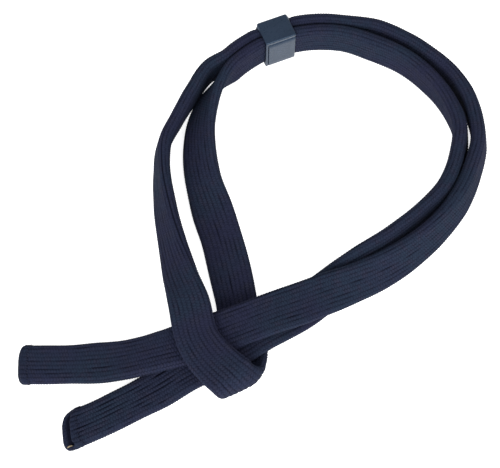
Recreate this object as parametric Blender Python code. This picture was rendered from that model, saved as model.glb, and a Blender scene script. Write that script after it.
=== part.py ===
"""Eyeglass retainer strap, laid in a loop on a table top at z = 0.

One flat knitted tube is folded in two. Its middle, the bight, is wrapped round its two tails as a
loose slip knot. A moulded slider sits over both strands, and each tail ends in an open, hemmed
sleeve that a spectacle temple goes into. The tube is divided into lengths, each a solid of its own,
with a small gap between one length and the next.

Sizes are in millimetres and are turned to metres when a mesh is made.
"""

import math

import bmesh
import bpy
import numpy as np

MM = 0.001

# Knitted tube lying flat and relaxed.
TUBE_WIDTH = 11.7
TUBE_THICKNESS = 3.4


def section(wider, thicker):
    """(width, thickness) of the tube's section where it is this much wider and thicker than relaxed."""
    return TUBE_WIDTH + wider, TUBE_THICKNESS + thicker


# The tube's section in each of the ways it lies.
RELAXED = section(0.0, 0.0)
SLACK = section(-0.6, 0.2)
WIDE = section(1.2, -0.4)
LEANING = section(-0.1, 0.2)
ON_EDGE = section(-0.2, 0.6)
PINCHED = section(-0.2, -0.4)
CROSSING = section(0.5, -0.4)
PRESSED = section(1.0, -0.8)
FOLDED = section(1.6, -1.0)

# Clearances.
LAYER_GAP = 0.3
STRAND_GAP = 0.25
PIECE_GAP = 0.3

# The arc along the top that the slider runs on, seen from above.
ARC_CENTRE = (20.1, 25.8)
ARC_RADIUS = 40.4
ARC_START = 82.0
ARC_END = 136.0
ARC_STATIONS = 9
ARC_FLOOR_GAP = 1.05

# The oblique fold of the bight.
FOLD_START = (-9.6, -49.0)
FOLD_AXIS_AZIMUTH = 27.0
FOLD_SLANT = 20.0
FOLD_STATIONS = 7
FOLD_FLOOR_GAP = 0.25

# Slider.
SLIDER_ANGLE = 112.1
SLIDER_LENGTH = 10.2
SLIDER_WALL = 0.7
SLIDER_FLOOR = 0.8
SLIDER_CLEARANCE = 0.2
SLIDER_EDGE = 0.7
SLIDER_EDGE_STEPS = 3

# Temple sleeves at the two ends.
SLEEVE_WALL = 1.0
SLEEVE_DEPTH = 32.0
HEM_LENGTH = 2.2
HEM_PROUD = 0.25

# Mesh density.
RING_POINTS = 12
RING_STEP = 5.0
DISC_STEP = 1.2
ARC_STEP = 1.5

# One thickness of pressed strap with the gap above it: how far one layer lifts the next.
LAYER = PRESSED[1] + LAYER_GAP

# Route of the tube's middle line. Each station is (x, y, layers below it, direction of the edge that
# faces the inside of the loop, lift angle of that edge, section). Angles are in degrees.
UPPER_TAIL_AND_OUTER_STRAND = [
    (-70.5, -44.3, 0.00, 90, 0, RELAXED),
    (-57.3, -44.2, 0.00, 92, 0, RELAXED),
    (-45.8, -43.6, 0.06, 94, -2, RELAXED),
    (-39.8, -43.1, 0.32, 95, -7, RELAXED),
    (-34.2, -42.4, 0.95, 98, -9, RELAXED),
    (-27.8, -41.2, 1.60, 102, -5, RELAXED),
    (-21.2, -39.4, 2.00, 108, 0, PRESSED),
    (-13.4, -36.8, 2.00, 111, 0, PRESSED),
    (-4.8, -33.4, 2.00, 112, 0, PRESSED),
    (2.5, -30.5, 2.00, 112, 0, PRESSED),
    (11.3, -27.2, 1.71, 113, 5, PRESSED),
    (18.8, -24.1, 1.32, 115, 14, CROSSING),
    (26.7, -20.9, 0.93, 117, 27, RELAXED),
    (35.9, -16.3, 0.42, 120, 42, RELAXED),
    (44.5, -10.6, 0.12, 126, 54, RELAXED),
    (52.9, -3.3, 0.03, 134, 64, LEANING),
    (60.6, 6.1, 0.01, 147, 71, LEANING),
    (65.9, 17.7, 0.01, 163, 75, LEANING),
    (67.8, 26.1, 0.01, 177, 77, LEANING),
    (67.3, 34.3, 0.07, 190, 80, ON_EDGE),
    (64.9, 42.7, 0.06, 203, 84, ON_EDGE),
    (60.7, 49.8, 0.05, 215, 88, ON_EDGE),
    (54.0, 56.5, 0.05, 227, 91, ON_EDGE),
    (46.3, 62.1, 0.09, 236, 93, ON_EDGE),
    (37.9, 66.0, 0.23, 248, 93, ON_EDGE),
]
OUTER_STRAND_LEFT = [
    (-16.1, 51.5, 0.19, 321, 88, PINCHED),
    (-21.7, 43.1, 0.06, 329, 84, ON_EDGE),
    (-26.4, 34.2, 0.07, 332, 80, ON_EDGE),
    (-29.9, 26.0, 0.08, 340, 78, ON_EDGE),
    (-30.5, 16.9, 0.05, 357, 74, LEANING),
    (-29.4, 5.9, 0.09, 369, 65, LEANING),
    (-26.2, -10.1, 0.73, 374, 46, RELAXED),
    (-23.9, -19.6, 1.83, 377, 24, RELAXED),
    (-21.3, -27.9, 2.88, 380, 5, PRESSED),
    (-17.0, -39.3, 3.03, 386, 0, FOLDED),
]
INNER_STRAND_LEFT = [
    (-4.5, -39.1, 0.00, 365, 0, PRESSED),
    (-6.2, -31.1, 0.00, 366, 0, PRESSED),
    (-7.5, -23.6, 0.03, 370, 0, PRESSED),
    (-9.3, -15.0, 0.00, 373, 0, WIDE),
    (-11.6, -5.5, 0.00, 376, 0, WIDE),
    (-14.9, 5.1, 0.03, 374, 6, WIDE),
    (-18.0, 15.9, 0.12, 368, 22, RELAXED),
    (-19.0, 25.4, 0.08, 361, 33, RELAXED),
    (-18.3, 33.9, 0.07, 351, 46, RELAXED),
    (-15.8, 41.1, 0.07, 337, 66, RELAXED),
    (-12.5, 47.1, 0.20, 324, 83, RELAXED),
]
INNER_STRAND_AND_LOWER_TAIL = [
    (37.3, 60.8, 0.23, 247, 94, ON_EDGE),
    (45.7, 55.7, 0.09, 236, 94, ON_EDGE),
    (53.4, 48.6, 0.05, 224, 91, ON_EDGE),
    (59.2, 39.9, 0.05, 208, 86, ON_EDGE),
    (61.9, 30.4, 0.06, 190, 80, LEANING),
    (61.4, 21.9, 0.04, 173, 77, LEANING),
    (56.9, 10.5, 0.05, 148, 75, LEANING),
    (49.2, 1.8, 0.06, 135, 73, LEANING),
    (39.5, -6.4, 0.03, 128, 68, LEANING),
    (30.0, -13.6, 0.03, 123, 47, RELAXED),
    (21.1, -20.5, 0.06, 120, 17, RELAXED),
    (11.4, -27.6, 0.33, 118, 4, PRESSED),
    (0.2, -34.5, 1.00, 117, 0, PRESSED),
    (-10.5, -41.3, 1.00, 117, 0, PRESSED),
    (-20.6, -46.7, 0.72, 116, 0, PRESSED),
    (-30.0, -51.7, 0.14, 114, 0, RELAXED),
    (-38.8, -56.2, 0.00, 115, 0, SLACK),
    (-46.8, -60.4, 0.00, 112, 0, SLACK),
    (-55.8, -64.1, 0.00, 109, 0, SLACK),
]

# Stations where each tail bends away from the knot: its hinge stands for that bend.
UPPER_HINGE_STATION = 5.6
LOWER_HINGE_STATION = 85.0

# Lengths of the tube that stay together as the loop: name, first and last station. The first and the
# last of them begin and end at the tails.
LOOP_LENGTHS = [
    ("upper_strand_crossing", None, 9.5),
    ("outer_strand_lower_right", 9.5, 15.5),
    ("outer_strand_right", 15.5, 24.5),
    ("outer_strand_top", 24.5, 33.5),
    ("outer_strand_left", 33.5, 41.5),
    ("bight_top_band", 41.5, 44.0),
    ("bight_fold", 44.0, 50.0),
    ("bight_underside", 50.0, 53.5),
    ("inner_strand_left", 53.5, 61.5),
    ("inner_strand_top", 61.5, 70.5),
    ("inner_strand_right", 70.5, 77.5),
    ("inner_strand_lower_right", 77.5, 82.0),
    ("lower_strand_crossing", 82.0, None),
]

# Colours: (red, green, blue, alpha).
NAVY = (0.030, 0.034, 0.062, 1.0)
DEEP_NAVY = (0.022, 0.025, 0.046, 1.0)
SLATE = (0.075, 0.105, 0.150, 1.0)


def resting_height(size, lift):
    """Height of a section's centre over what it lies on, with one edge lifted by this angle."""
    width, thickness = size
    return (width - thickness) / 2 * abs(math.sin(math.radians(lift))) + thickness / 2


def placed(stations):
    """Columns (x, y, z, edge direction, edge lift, width, thickness) of a list of stations."""
    return [
        (x, y, layers * LAYER + resting_height(size, lift), direction, lift, *size)
        for x, y, layers, direction, lift, size in stations
    ]


def arc(radius, start, end):
    """Columns along the round stretch at the top, where both strands stand on edge."""
    height = ARC_FLOOR_GAP + PINCHED[0] / 2
    columns = []
    for angle in np.linspace(start, end, ARC_STATIONS):
        x = ARC_CENTRE[0] + radius * math.cos(math.radians(angle))
        y = ARC_CENTRE[1] + radius * math.sin(math.radians(angle))
        columns.append((x, y, height, angle + 180, 90, *PINCHED))
    return columns


def fold():
    """Columns round the bight's fold: half a turn of an oblique helix, from the top layer to the table."""
    radius = 1.5 * LAYER
    centre_height = PRESSED[1] / 2 + radius + FOLD_FLOOR_GAP
    slant = math.radians(FOLD_SLANT)
    azimuth = math.radians(FOLD_AXIS_AZIMUTH)
    along = np.array([math.cos(azimuth), math.sin(azimuth), 0])
    out = np.array([along[1], -along[0], 0])
    up = np.array([0, 0, 1])
    columns = []
    for turn in np.linspace(0, math.pi, FOLD_STATIONS):
        middle = np.array([*FOLD_START, centre_height]) + along * radius * turn * math.tan(slant)
        place = middle + radius * (math.sin(turn) * out + math.cos(turn) * up)
        forward = math.cos(turn) * out - math.sin(turn) * up
        edge = math.cos(slant) * along - math.sin(slant) * forward
        direction = math.degrees(math.atan2(edge[1], edge[0])) + 360
        lift = math.degrees(math.asin(edge[2]))
        columns.append((*place, direction, lift, *FOLDED))
    return columns


def route():
    """Columns of the whole tube, from the upper sleeve's mouth to the lower sleeve's."""
    half = (STRAND_GAP + PINCHED[1]) / 2
    columns = placed(UPPER_TAIL_AND_OUTER_STRAND)
    columns += arc(ARC_RADIUS + half, ARC_START, ARC_END)
    columns += placed(OUTER_STRAND_LEFT)
    columns += fold()
    columns += placed(INNER_STRAND_LEFT)
    columns += arc(ARC_RADIUS - half, ARC_END, ARC_START)
    columns += placed(INNER_STRAND_AND_LOWER_TAIL)
    table = np.array(columns, float)
    table[:, 3] = np.degrees(np.unwrap(np.radians(table[:, 3])))
    return table


def slopes(table, marks):
    """Slope of every column at every station: smooth in plan, and never past its neighbours elsewhere."""
    found = np.zeros_like(table)
    found[0] = (table[1] - table[0]) / (marks[1] - marks[0])
    found[-1] = (table[-1] - table[-2]) / (marks[-1] - marks[-2])
    for i in range(1, len(table) - 1):
        before = (table[i] - table[i - 1]) / (marks[i] - marks[i - 1])
        after = (table[i + 1] - table[i]) / (marks[i + 1] - marks[i])
        share = (marks[i + 1] - marks[i]) / (marks[i + 1] - marks[i - 1])
        found[i] = before * share + after * (1 - share)
        for column in range(2, table.shape[1]):
            product = before[column] * after[column]
            total = before[column] + after[column]
            found[i, column] = 2 * product / total if product > 0 else 0.0
    return found


TABLE = route()
MARKS = np.concatenate([[0.0], np.cumsum(np.linalg.norm(np.diff(TABLE[:, :3], axis=0), axis=1))])
SLOPES = slopes(TABLE, MARKS)


def mark_of(station):
    """Distance along the tube of a station, which may lie between two."""
    return float(np.interp(station, range(len(MARKS)), MARKS))


def column_at(mark):
    """The route's columns at a distance along the tube, on the smooth curve through the stations."""
    i = int(np.clip(np.searchsorted(MARKS, mark, side="right") - 1, 0, len(MARKS) - 2))
    span = MARKS[i + 1] - MARKS[i]
    u = (mark - MARKS[i]) / span
    return (
        (2 * u**3 - 3 * u**2 + 1) * TABLE[i]
        + (u**3 - 2 * u**2 + u) * span * SLOPES[i]
        + (3 * u**2 - 2 * u**3) * TABLE[i + 1]
        + (u**3 - u**2) * span * SLOPES[i + 1]
    )


def frame_at(mark):
    """Place, forward, width and thickness directions, width and thickness at a distance along the tube."""
    column = column_at(mark)
    ahead = column_at(min(mark + 0.1, MARKS[-1]))[:3] - column_at(max(mark - 0.1, 0.0))[:3]
    forward = ahead / np.linalg.norm(ahead)
    direction, lift = np.radians(column[3:5])
    edge = np.array(
        [
            math.cos(direction) * math.cos(lift),
            math.sin(direction) * math.cos(lift),
            math.sin(lift),
        ]
    )
    edge -= edge.dot(forward) * forward
    edge /= np.linalg.norm(edge)
    return column[:3], forward, edge, np.cross(forward, edge), column[5], column[6]


def ring(mark, width=None, thickness=None):
    """Points round the tube's flattened section: two flat faces and two half-round edges."""
    place, _, edge, face, own_width, own_thickness = frame_at(mark)
    width = own_width if width is None else width
    thickness = own_thickness if thickness is None else thickness
    radius = thickness / 2
    side = max((width - thickness) / 2, 0.0)
    points = []
    for end in (1, -1):
        for angle in np.linspace(-math.pi / 2, math.pi / 2, RING_POINTS // 2):
            across = end * (side + radius * math.cos(angle))
            points.append(place + edge * across + face * end * radius * math.sin(angle))
    return points


def marks_between(first, last, step=RING_STEP):
    """Distances for rings: both ends, every station between them, and no stretch longer than a step."""
    knots = [first, *[m for m in MARKS if first + 0.4 < m < last - 0.4], last]
    marks = [first]
    for start, end in zip(knots, knots[1:]):
        count = max(1, math.ceil((end - start) / step))
        marks += [start + (end - start) * (k + 1) / count for k in range(count)]
    return marks


def disc_marks(hinge, radius, sign):
    """Distances along the round end of a tail, from its hinge outwards."""
    count = math.ceil(radius / DISC_STEP)
    return [hinge + sign * radius * math.sin(math.pi / 2 * (k + 1) / count) for k in range(count)]


def disc_rings(hinge, sign):
    """Rings that close a tail with half a disc round its hinge, so that it can turn beside the knot."""
    width = frame_at(hinge)[4]
    radius = width / 2
    rings = []
    for mark in disc_marks(hinge, radius, sign):
        thickness = frame_at(mark)[5]
        half = math.sqrt(max(radius**2 - (mark - hinge) ** 2, 0.0))
        rings.append(ring(mark, max(2 * half, thickness), thickness))
    return rings


def skin(name, rings, material, closed=False):
    """An object with a surface through a row of rings: capped at both ends, or closed on itself."""
    mesh = bmesh.new()
    loops = [[mesh.verts.new([value * MM for value in point]) for point in points] for points in rings]
    pairs = list(zip(loops, loops[1:]))
    if closed:
        pairs.append((loops[-1], loops[0]))
    else:
        mesh.faces.new(loops[0])
        mesh.faces.new(loops[-1])
    count = len(loops[0])
    for here, there in pairs:
        for k in range(count):
            mesh.faces.new((here[k], here[(k + 1) % count], there[(k + 1) % count], there[k]))
    bmesh.ops.recalc_face_normals(mesh, faces=mesh.faces)
    return finished(name, mesh, material)


def finished(name, mesh, material):
    """The object of a bmesh, in the scene, with its material and smooth round faces."""
    data = bpy.data.meshes.new(name)
    mesh.to_mesh(data)
    mesh.free()
    data.materials.append(material)
    data.shade_smooth()
    data.set_sharp_from_angle(angle=math.radians(40))
    made = bpy.data.objects.new(name, data)
    bpy.context.scene.collection.objects.link(made)
    return made


def empty(name, x, y):
    """An upright axis at a place in plan."""
    axis = bpy.data.objects.new(name, None)
    axis.location = (x * MM, y * MM, 0)
    axis.empty_display_size = 0.01
    bpy.context.scene.collection.objects.link(axis)
    return axis


def hang_on(child, axis):
    """Parent a piece to its axis without moving it."""
    child.parent = axis
    child.matrix_parent_inverse.identity()
    child.location = [-value for value in axis.location]


def material(name, colour, roughness, sheen=0.0):
    made = bpy.data.materials.new(name)
    made.use_nodes = True
    shader = made.node_tree.nodes["Principled BSDF"]
    shader.inputs["Base Color"].default_value = colour
    shader.inputs["Roughness"].default_value = roughness
    shader.inputs["Metallic"].default_value = 0.0
    shader.inputs["Sheen Weight"].default_value = sheen
    return made


def loop_length(name, first, last, knit):
    """One length of the tube in the loop, with half a gap left off each end."""
    start = first + PIECE_GAP / 2
    end = last - PIECE_GAP / 2
    return skin(name, [ring(mark) for mark in marks_between(start, end)], knit)


def make_loop(upper_hinge, lower_hinge, knit):
    """Every length of the tube that stays in the loop."""
    # The tails' round ends reach this far past their hinges.
    first_mark = upper_hinge + frame_at(upper_hinge)[4] / 2 + PIECE_GAP / 2
    last_mark = lower_hinge - frame_at(lower_hinge)[4] / 2 - PIECE_GAP / 2
    for name, first, last in LOOP_LENGTHS:
        start = first_mark if first is None else mark_of(first)
        end = last_mark if last is None else mark_of(last)
        loop_length(name, start, end, knit)


def make_sleeve(name, mouth, hinge, sign, knit):
    """A tail: solid at its hinge and a hollow sleeve at its open end. sign points from mouth to hinge."""
    edge = mouth + sign * (HEM_LENGTH + PIECE_GAP)
    deep = mouth + sign * SLEEVE_DEPTH
    outer = marks_between(min(edge, hinge), max(edge, hinge))
    inner = marks_between(min(edge, deep), max(edge, deep))
    if sign > 0:
        outer.reverse()
    else:
        inner.reverse()
    rings = list(reversed(disc_rings(hinge, sign)))
    rings += [ring(mark) for mark in outer]
    rings += [ring(mark, *lumen(mark)) for mark in inner]
    return skin(name, rings, knit)


def lumen(mark):
    """Width and thickness of the space inside the tube."""
    _, _, _, _, width, thickness = frame_at(mark)
    return width - 2 * SLEEVE_WALL, thickness - 2 * SLEEVE_WALL


def make_hem(name, mouth, sign, knit):
    """The turned and sewn rim of a sleeve's mouth."""
    inner_end = mouth + sign * HEM_LENGTH
    outside = []
    inside = []
    for mark in (mouth, inner_end):
        _, _, _, _, width, thickness = frame_at(mark)
        outside.append(ring(mark, width + 2 * HEM_PROUD, thickness + 2 * HEM_PROUD))
        inside.append(ring(mark, *lumen(mark)))
    for points in (*outside, *inside):
        for point in points:
            point[2] += HEM_PROUD
    return skin(name, [*outside, *reversed(inside)], knit, closed=True)


def slider_slot():
    """Cutter for the slider's slot: both strands and the gap between them, with clearance all round."""
    depth = 2 * PINCHED[1] + STRAND_GAP + 2 * SLIDER_CLEARANCE
    low = ARC_FLOOR_GAP - SLIDER_CLEARANCE
    high = ARC_FLOOR_GAP + PINCHED[0] + SLIDER_CLEARANCE
    reach = math.degrees(SLIDER_LENGTH / ARC_RADIUS)
    count = math.ceil(2 * SLIDER_LENGTH / ARC_STEP)
    rings = []
    for angle in np.radians(np.linspace(SLIDER_ANGLE - reach, SLIDER_ANGLE + reach, count + 1)):
        points = []
        for radius, height in ((-1, low), (1, low), (1, high), (-1, high)):
            away = ARC_RADIUS + radius * depth / 2
            points.append([away * math.cos(angle), away * math.sin(angle), height])
        rings.append(points)
    cutter = skin("slider_slot_cutter", rings, material("cutter", SLATE, 0.5))
    cutter.hide_render = True
    cutter.display_type = "WIRE"
    return cutter


def make_slider(axis, plastic):
    """The moulded slider: a box with rounded edges that follows the strands' arc inside."""
    depth = 2 * (PINCHED[1] + SLIDER_CLEARANCE + SLIDER_WALL) + STRAND_GAP
    # The slot's curve takes more of the wall nearer the arc's centre, so the box is centred on it.
    sagitta = SLIDER_LENGTH**2 / (8 * ARC_RADIUS)
    height = ARC_FLOOR_GAP + PINCHED[0] + SLIDER_CLEARANCE + SLIDER_FLOOR
    angle = math.radians(SLIDER_ANGLE)
    outward = np.array([math.cos(angle), math.sin(angle), 0])
    along = np.array([-math.sin(angle), math.cos(angle), 0])
    middle = outward * (ARC_RADIUS - sagitta / 2)
    rings = []
    for end in (-1, 1):
        points = []
        for side, level in ((-1, 0), (1, 0), (1, height), (-1, height)):
            point = middle + along * end * SLIDER_LENGTH / 2
            point += outward * side * (depth + sagitta) / 2
            point[2] = level
            points.append(point)
        rings.append(points)
    slider = skin("slider_sleeve", rings, plastic)
    bevel = slider.modifiers.new("rounded_edges", "BEVEL")
    bevel.width = SLIDER_EDGE * MM
    bevel.segments = SLIDER_EDGE_STEPS
    slot = slider.modifiers.new("slot", "BOOLEAN")
    slot.operation = "DIFFERENCE"
    slot.solver = "EXACT"
    slot.object = slider_slot()
    for piece in (slider, slot.object):
        piece.parent = axis


def clear_scene():
    for item in list(bpy.data.objects):
        bpy.data.objects.remove(item, do_unlink=True)


def main():
    clear_scene()
    knit = material("navy_knit", NAVY, 0.9, sheen=0.4)
    hem = material("navy_hem", DEEP_NAVY, 0.9, sheen=0.3)
    plastic = material("slate_plastic", SLATE, 0.45)

    upper_mouth = 0.0
    lower_mouth = MARKS[-1]
    upper_hinge = mark_of(UPPER_HINGE_STATION)
    lower_hinge = mark_of(LOWER_HINGE_STATION)
    make_loop(upper_hinge, lower_hinge, knit)

    for name, mouth, hinge, sign in (
        ("upper", upper_mouth, upper_hinge, 1),
        ("lower", lower_mouth, lower_hinge, -1),
    ):
        place = column_at(hinge)
        axis = empty(f"{name}_tail_axis", place[0], place[1])
        hang_on(make_sleeve(f"{name}_temple_sleeve", mouth, hinge, sign, knit), axis)
        hang_on(make_hem(f"{name}_sleeve_hem", mouth, sign, hem), axis)

    make_slider(empty("slider_axis", *ARC_CENTRE), plastic)


main()
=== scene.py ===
"""Looks of the eyeglass retainer strap: the knitted tube with its ribs and stitches, its hems and open
mouths, and the moulded slider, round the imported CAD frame. Everything is in metres.
"""

import math

import bmesh
import bpy
import numpy as np
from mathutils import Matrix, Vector


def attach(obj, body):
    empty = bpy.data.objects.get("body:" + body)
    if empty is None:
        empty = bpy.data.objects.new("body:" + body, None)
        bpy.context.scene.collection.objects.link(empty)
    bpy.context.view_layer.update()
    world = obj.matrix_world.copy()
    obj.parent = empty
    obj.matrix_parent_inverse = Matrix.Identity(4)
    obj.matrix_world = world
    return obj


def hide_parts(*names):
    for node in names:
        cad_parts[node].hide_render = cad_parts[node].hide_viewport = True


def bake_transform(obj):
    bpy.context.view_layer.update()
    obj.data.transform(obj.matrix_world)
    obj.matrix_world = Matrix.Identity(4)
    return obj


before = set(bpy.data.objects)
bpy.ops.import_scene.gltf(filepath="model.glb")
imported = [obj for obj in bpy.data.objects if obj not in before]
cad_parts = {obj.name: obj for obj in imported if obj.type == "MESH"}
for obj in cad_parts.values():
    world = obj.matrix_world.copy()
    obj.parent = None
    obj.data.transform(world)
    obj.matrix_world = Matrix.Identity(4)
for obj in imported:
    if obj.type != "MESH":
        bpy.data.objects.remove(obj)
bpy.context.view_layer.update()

# Camera: it looks down at the strap from the side of its two mouths.
VIEW_TARGET = (-0.0033, -0.0021, 0.0)
VIEW_ELEVATION = 66.5
VIEW_DISTANCE = 0.367
LENS = 86.4
SENSOR = 36.0

# Knitted tube: (width, thickness) of its flattened section in each of the ways it lies.
RELAXED = (0.0117, 0.0034)
SLACK = (0.0111, 0.0036)
WIDE = (0.0129, 0.0030)
LEANING = (0.0116, 0.0036)
ON_EDGE = (0.0115, 0.0041)
BULGING = (0.0117, 0.0046)
ROUNDED = (0.0115, 0.0045)
CROSSING = (0.0122, 0.0030)
FULLER = (0.0123, 0.0034)
PRESSED = (0.0127, 0.0026)
FOLDED = (0.0139, 0.0024)

# Light and floor.
SURROUND = 0.85
LEFT_LAMP = (-0.50, -1.02, 0.72)
RIGHT_LAMP = (0.55, -0.98, 0.70)
LAMP_SIZE = 0.8
LEFT_ENERGY = 13.0
RIGHT_ENERGY = 11.0
FLOOR_REACH = 1.5
FLOOR_DROP = 0.0004
FLOOR_COLOUR = (0.93, 0.93, 0.93, 1)
FLOOR_ROUGHNESS = 0.9
FLOOR_GLOW = 0.75
WHITE = (1, 1, 1, 1)

# One layer of pressed tube with the gap over it, and the gap between the two strands on the arc.
LAYER = 0.0029
STRAND_GAP = 0.00012

# The arc along the top that the slider runs on.
ARC_CENTRE = (0.0201, 0.0258)
ARC_RADIUS = 0.0404
ARC_START = 82.0
ARC_END = 136.0
ARC_STATIONS = 28
ARC_HEIGHT = 0.0068
ARC_WIDTH = 0.0115
ARC_WIDTH_BESIDE = 0.0121
# Thickness of one strand in the slider and on each side of it, how far outwards the pair bows on the
# slider's left, and how many degrees from its middle the grip ends and the strands are full again.
GRIPPED = 0.0031
BESIDE_RIGHT = 0.00385
BESIDE_LEFT = 0.00355
LEFT_BOW = 0.0003
GRIP_ANGLE = 5.5
FREE_ANGLE = 9.5

# The oblique fold of the bight.
FOLD_START = (-0.0100, -0.0492)
FOLD_AXIS_AZIMUTH = 27.0
FOLD_SLANT = 24.0
FOLD_STATIONS = 7
FOLD_FLOOR_GAP = 0.00025

# Slider.
SLIDER_ANGLE = 112.1
SLIDER_LENGTH = 0.0102
SLIDER_HEIGHT = 0.01355
SLIDER_WALL = 0.00075
SLIDER_EDGE = 0.0005
SLIDER_END_EDGE = 0.0003
SLIDER_BACK_EDGE = 0.0010
SLIDER_FORWARD = 0.0001
SLOT_CLEARANCE = 0.0002
SLOT_CORNER = 0.0008
SLOT_LIP = 0.00025

# Grooves along the slider's left end and its top: distance of each from that edge, its width and depth.
END_BORDER = 0.00085
END_GROOVE = 0.00034
TOP_BORDER = 0.00145
TOP_GROOVE = 0.0007
GROOVE_DEPTH = 0.00036

# Mesh of the slider: its rows, the steps of its edges, corners and slot, and where the points of its
# sides lie, as shares of the height and of the half depth.
SLIDER_ROWS = (-0.003, -0.0015, 0.0, 0.0015, 0.003)
EDGE_STEPS = 5
CORNER_STEPS = 5
SLOT_LIP_STEPS = 4
SLOT_ROWS = 8
SLOT_INSET = 0.0012
UPRIGHT_SHARES = (0.15, 0.3, 0.45, 0.6, 0.75)
LEVEL_SHARES = (-0.7, -0.35, 0.0, 0.35, 0.7)
SHARPEST_SMOOTH = 50.0

# Route of the tube's middle line. Each station is (x, y, layers below it, direction of the edge that
# faces the inside of the loop, lift angle of that edge, section). Angles are in degrees.
UPPER_TAIL_AND_OUTER_STRAND = [
    (-0.0705, -0.0443, 0.00, 90, 0, RELAXED),
    (-0.0573, -0.0442, 0.00, 92, 0, RELAXED),
    (-0.0458, -0.0437, 0.06, 94, -2, FULLER),
    (-0.0398, -0.0433, 0.32, 95, -7, FULLER),
    (-0.0342, -0.0427, 0.95, 98, -9, FULLER),
    (-0.0278, -0.0414, 1.60, 102, -5, FULLER),
    (-0.0212, -0.0394, 2.00, 108, 0, PRESSED),
    (-0.0134, -0.0368, 2.00, 111, 0, PRESSED),
    (-0.0048, -0.0334, 2.00, 112, 0, PRESSED),
    (0.0025, -0.0305, 2.00, 112, 0, PRESSED),
    (0.0113, -0.0272, 1.71, 113, 5, PRESSED),
    (0.0188, -0.0241, 1.32, 115, 14, CROSSING),
    (0.0267, -0.0209, 0.93, 117, 27, RELAXED),
    (0.0359, -0.0163, 0.42, 120, 42, RELAXED),
    (0.0445, -0.0106, 0.12, 126, 54, RELAXED),
    (0.0529, -0.0033, 0.03, 134, 64, LEANING),
    (0.0604, 0.0063, 0.01, 147, 71, BULGING),
    (0.0656, 0.0179, 0.01, 163, 75, BULGING),
    (0.0678, 0.0261, 0.01, 177, 77, BULGING),
    (0.0673, 0.0343, 0.07, 190, 80, ROUNDED),
    (0.0649, 0.0427, 0.06, 203, 84, ROUNDED),
    (0.0607, 0.0498, 0.05, 215, 88, ON_EDGE),
    (0.0540, 0.0565, 0.05, 227, 91, ON_EDGE),
    (0.0463, 0.0621, 0.09, 236, 93, ON_EDGE),
    (0.0379, 0.0660, 0.23, 248, 93, ON_EDGE),
]
OUTER_STRAND_LEFT = [
    (-0.0164, 0.0518, 0.19, 321, 88, ON_EDGE),
    (-0.0219, 0.0433, 0.06, 329, 84, ON_EDGE),
    (-0.0264, 0.0342, 0.07, 332, 80, ON_EDGE),
    (-0.0299, 0.0260, 0.08, 340, 78, ON_EDGE),
    (-0.0305, 0.0169, 0.05, 357, 74, LEANING),
    (-0.0294, 0.0059, 0.09, 369, 65, LEANING),
    (-0.0261, -0.0101, 0.73, 374, 46, SLACK),
    (-0.0237, -0.0196, 1.83, 377, 24, SLACK),
    (-0.0211, -0.0279, 2.88, 380, 5, CROSSING),
    (-0.0179, -0.0399, 3.03, 386, 0, PRESSED),
]
INNER_STRAND_LEFT = [
    (-0.0045, -0.0391, 0.00, 365, 0, PRESSED),
    (-0.0062, -0.0311, 0.00, 366, 0, PRESSED),
    (-0.0075, -0.0236, 0.03, 370, 0, PRESSED),
    (-0.0093, -0.0150, 0.00, 373, 0, WIDE),
    (-0.0116, -0.0055, 0.00, 376, 0, WIDE),
    (-0.0149, 0.0051, 0.03, 374, 6, WIDE),
    (-0.0180, 0.0159, 0.12, 368, 22, RELAXED),
    (-0.0191, 0.0255, 0.08, 361, 33, RELAXED),
    (-0.0186, 0.0341, 0.07, 351, 43, RELAXED),
    (-0.0164, 0.0416, 0.07, 337, 56, RELAXED),
    (-0.0129, 0.0475, 0.20, 324, 73, RELAXED),
]
INNER_STRAND_AND_LOWER_TAIL = [
    (0.0370, 0.0601, 0.23, 247, 94, ROUNDED),
    (0.0457, 0.0557, 0.09, 236, 94, ON_EDGE),
    (0.0534, 0.0486, 0.05, 224, 91, ON_EDGE),
    (0.0592, 0.0399, 0.05, 208, 86, ROUNDED),
    (0.0622, 0.0306, 0.06, 190, 80, BULGING),
    (0.0612, 0.0220, 0.04, 173, 77, BULGING),
    (0.0569, 0.0105, 0.05, 148, 75, BULGING),
    (0.0492, 0.0018, 0.06, 135, 73, LEANING),
    (0.0395, -0.0064, 0.03, 128, 68, LEANING),
    (0.0300, -0.0136, 0.03, 123, 47, RELAXED),
    (0.0211, -0.0205, 0.06, 120, 17, RELAXED),
    (0.0114, -0.0276, 0.33, 118, 4, PRESSED),
    (0.0002, -0.0345, 1.00, 117, 0, PRESSED),
    (-0.0105, -0.0413, 1.00, 117, 0, PRESSED),
    (-0.0208, -0.0464, 0.72, 116, 0, CROSSING),
    (-0.0300, -0.0518, 0.14, 114, 0, RELAXED),
    (-0.0386, -0.0564, 0.00, 115, 0, SLACK),
    (-0.0466, -0.0605, 0.00, 112, 0, SLACK),
    (-0.0555, -0.0643, 0.00, 109, 0, SLACK),
]

# Places along the tube, each (stretch, station in it). The pieces meet out of sight: the tails meet the
# strands under the bight, and the two strands meet at the back of it.
UPPER_TAIL_ENDS = (0, 7.2)
OUTER_STRAND_ENDS = (4, 0.6)
INNER_STRAND_ENDS = (6, 13.4)
UPPER_HINGE = (0, 5.6)
LOWER_HINGE = (6, 14)

# The bight's edges curl towards the inside of its fold, over this stretch of the tube.
CURL_STARTS = (3, 0.0)
CURL_FULL = (3, 2.5)
CURL_HOLDS = (3, 5.4)
CURL_ENDS = (4, 0.35)
CURL_RIGHT = (0.0034, 0.0044)
CURL_LEFT = 0.0012
CURL_POWER = 2.4
CURL_SPAN = 0.0067

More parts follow.
